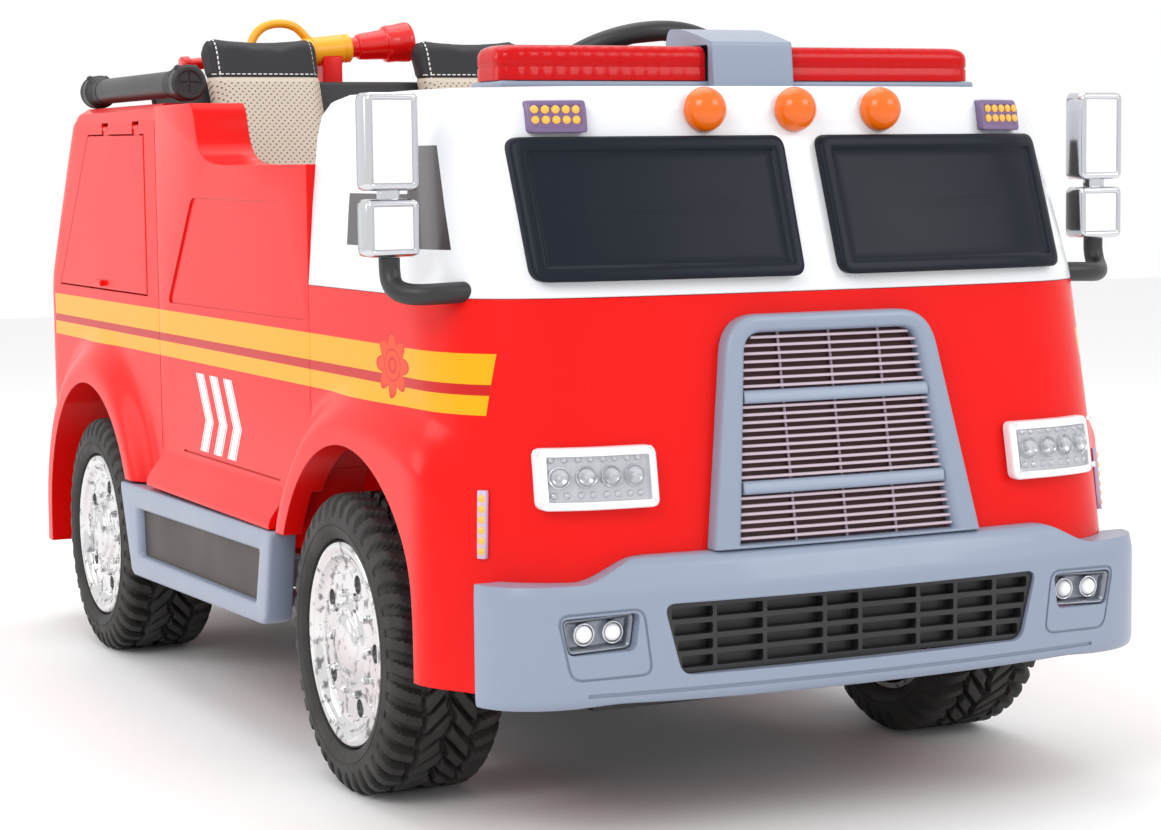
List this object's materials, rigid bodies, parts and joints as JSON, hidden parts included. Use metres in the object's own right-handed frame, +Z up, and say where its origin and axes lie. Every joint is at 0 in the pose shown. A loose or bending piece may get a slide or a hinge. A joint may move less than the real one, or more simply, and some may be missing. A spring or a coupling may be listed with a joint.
{
  "type": "ride-on toy fire truck",
  "caption": "Children's battery ride-on fire truck with a light bar, padded seats, steering, rolling wheels, opening side hatches, swivelling mirrors and a water gun.",
  "frame": {"origin": "on the floor, under the middle of the truck's length and width", "axes": "+Y towards the rear, +Z up, +X towards the driver's left; the front faces -Y"},
  "size_m": [0.723, 1.376, 0.71],
  "materials": {
    "red_gloss": "gloss",
    "white_gloss": "gloss",
    "blue_grey": "satin",
    "black_plastic": "satin",
    "black_gloss": "gloss",
    "tyre_rubber": "matte",
    "chrome": "mirror",
    "steel": "satin",
    "clear_lens": "gloss",
    "amber_lens": "gloss",
    "red_lens": "gloss",
    "yellow_plastic": "satin",
    "beige_leatherette": "satin",
    "black_leatherette": "satin"
  },
  "bodies": {
    "body": {"chassis": "black_plastic", "cab_lower": "red_gloss", "cab_upper": "white_gloss", "middle_body": "red_gloss", "rear_body": "red_gloss", "dashboard": "black_plastic", "front_bumper": "blue_grey", "bumper_grille": "black_plastic", "radiator_grille": "blue_grey", "headlamp_right": "clear_lens", "headlamp_left": "clear_lens", "fog_lamp_right": "clear_lens", "fog_lamp_left": "clear_lens", "windscreen_right": "black_gloss", "windscreen_left": "black_gloss", "roof_marker_right": "amber_lens", "roof_marker_left": "amber_lens", "side_marker_right": "amber_lens", "side_marker_left": "amber_lens", "roof_dome_lamps": "amber_lens", "light_bar_base": "blue_grey", "light_bar_lens_right": "red_lens", "light_bar_lens_left": "red_lens", "light_bar_strap": "blue_grey", "mirror_arm_right": "black_plastic", "mirror_arm_left": "black_plastic", "side_step_right": "blue_grey", "side_step_left": "blue_grey", "seat_cushion": "beige_leatherette", "seat_back_panel": "black_leatherette", "backrest_right": "beige_leatherette", "backrest_left": "beige_leatherette", "hose_tube": "black_plastic", "water_gun_grip": "yellow_plastic", "rear_axle": "steel", "motor_gearbox_right": "black_plastic", "motor_gearbox_left": "black_plastic", "battery": "black_plastic"},
    "front_wheel_right": {"tyre_front_right": "tyre_rubber", "wheel_front_right": "chrome"},
    "front_wheel_left": {"tyre_front_left": "tyre_rubber", "wheel_front_left": "chrome"},
    "rear_wheel_right": {"tyre_rear_right": "tyre_rubber", "wheel_rear_right": "chrome"},
    "rear_wheel_left": {"tyre_rear_left": "tyre_rubber", "wheel_rear_left": "chrome"},
    "knuckle_right": {"steering_knuckle_right": "steel"},
    "knuckle_left": {"steering_knuckle_left": "steel"},
    "track_rod": {"tie_rod": "steel"},
    "steering": {"steering_column": "steel", "steering_wheel": "black_plastic"},
    "horn": {"horn_button": "red_gloss"},
    "pedal": {"accelerator_pedal": "black_plastic"},
    "lever": {"direction_lever": "black_plastic"},
    "switch": {"power_switch": "red_gloss"},
    "right_hatch": {"hatch_right": "red_gloss"},
    "left_hatch": {"hatch_left": "red_gloss"},
    "right_mirror": {"mirror_head_right": "chrome"},
    "left_mirror": {"mirror_head_left": "chrome"},
    "gun_barrel": {"water_gun_barrel": "red_gloss"}
  },
  "joints": [
    {"name": "steering_wheel_turn", "type": "hinge", "parent": "body", "child": "steering", "pos_m": [0.127, -0.015, 0.606], "axis": [0, 0.6, 0.8], "range_deg": [-45, 45]},
    {"name": "right_wheel_steer", "type": "hinge", "parent": "body", "child": "knuckle_right", "pos_m": [-0.19, -0.359, 0.1305], "axis": [0, 0, 1], "range_deg": [-15.5, 15.5]},
    {"name": "left_wheel_steer", "type": "hinge", "parent": "body", "child": "knuckle_left", "pos_m": [0.19, -0.359, 0.1305], "axis": [0, 0, 1], "range_deg": [-15.5, 15.5]},
    {"name": "tie_rod_shift", "type": "slide", "parent": "body", "child": "track_rod", "axis": [1, 0, 0], "range_m": [-0.02, 0.02]},
    {"name": "front_right_wheel_spin", "type": "hinge", "parent": "knuckle_right", "child": "front_wheel_right", "pos_m": [-0.272, -0.359, 0.1305], "axis": [1, 0, 0], "continuous": true},
    {"name": "front_left_wheel_spin", "type": "hinge", "parent": "knuckle_left", "child": "front_wheel_left", "pos_m": [0.272, -0.359, 0.1305], "axis": [1, 0, 0], "continuous": true},
    {"name": "rear_right_wheel_spin", "type": "hinge", "parent": "body", "child": "rear_wheel_right", "pos_m": [-0.272, 0.424, 0.1305], "axis": [1, 0, 0], "continuous": true},
    {"name": "rear_left_wheel_spin", "type": "hinge", "parent": "body", "child": "rear_wheel_left", "pos_m": [0.272, 0.424, 0.1305], "axis": [1, 0, 0], "continuous": true},
    {"name": "horn_press", "type": "slide", "parent": "steering", "child": "horn", "axis": [0, -0.6, -0.8], "range_m": [0, 0.003], "stiffness_N_per_m": 300, "springref_m": -0.003},
    {"name": "accelerator_press", "type": "hinge", "parent": "body", "child": "pedal", "pos_m": [0.062, -0.302, 0.184], "axis": [1, 0, 0], "range_deg": [0, 12], "stiffness_Nm_per_rad": 0.15, "springref_deg": -11.46},
    {"name": "direction_select", "type": "hinge", "parent": "body", "child": "lever", "pos_m": [0.03, -0.245, 0.45], "axis": [1, 0, 0], "range_deg": [-12, 12]},
    {"name": "power_rock", "type": "hinge", "parent": "body", "child": "switch", "pos_m": [0.205, -0.23, 0.5], "axis": [1, 0, 0], "range_deg": [-8, 8]},
    {"name": "right_hatch_swing", "type": "hinge", "parent": "body", "child": "right_hatch", "pos_m": [-0.3045, 0.343, 0.584], "axis": [0, 1, 0], "range_deg": [0, 80]},
    {"name": "left_hatch_swing", "type": "hinge", "parent": "body", "child": "left_hatch", "pos_m": [0.3045, 0.343, 0.584], "axis": [0, -1, 0], "range_deg": [0, 80]},
    {"name": "right_mirror_swivel", "type": "hinge", "parent": "body", "child": "right_mirror", "pos_m": [-0.339, -0.53, 0.4694], "axis": [0, 0, 1], "range_deg": [-25, 25]},
    {"name": "left_mirror_swivel", "type": "hinge", "parent": "body", "child": "left_mirror", "pos_m": [0.339, -0.53, 0.4694], "axis": [0, 0, 1], "range_deg": [-25, 25]},
    {"name": "water_gun_pump", "type": "slide", "parent": "body", "child": "gun_barrel", "axis": [0.9945, 0, 0.1044], "range_m": [0, 0.05]}
  ],
  "couplings": [
    {"joint": "right_wheel_steer", "follows": "steering_wheel_turn", "ratio": 0.33333},
    {"joint": "left_wheel_steer", "follows": "steering_wheel_turn", "ratio": 0.33333},
    {"joint": "tie_rod_shift", "follows": "steering_wheel_turn", "m_per_rad": -0.0247}
  ]
}
